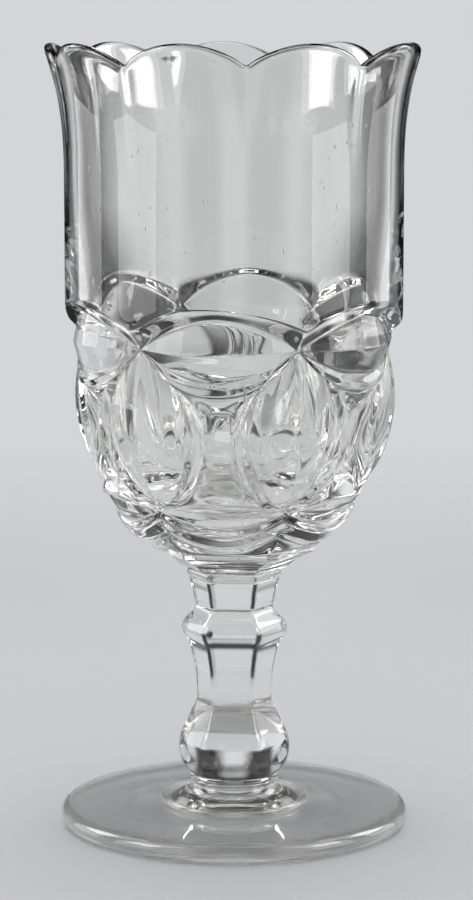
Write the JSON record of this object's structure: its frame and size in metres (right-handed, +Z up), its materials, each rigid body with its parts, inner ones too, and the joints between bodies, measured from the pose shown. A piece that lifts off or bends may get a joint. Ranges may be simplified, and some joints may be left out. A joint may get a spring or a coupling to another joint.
{
  "type": "celery vase",
  "caption": "Footed clear pressed-glass vase: deep cylindrical bowl with scalloped flared rim and moulded oval pattern, faceted baluster standard, round foot.",
  "frame": {"origin": "centre of the flat underside of the foot, on the vase's axis", "axes": "+Z up along the axis of the vase; -Y is the side towards the picture's camera"},
  "size_m": [0.1094, 0.1092, 0.23],
  "materials": {
    "pressed_glass": "clear fire-polished pressed glass, colourless, with fine wear"
  },
  "bodies": {
    "root": {"bowl": "pressed_glass", "joining_wafer": "pressed_glass", "stem": "pressed_glass", "foot_collar": "pressed_glass", "foot": "pressed_glass"}
  },
  "joints": []
}
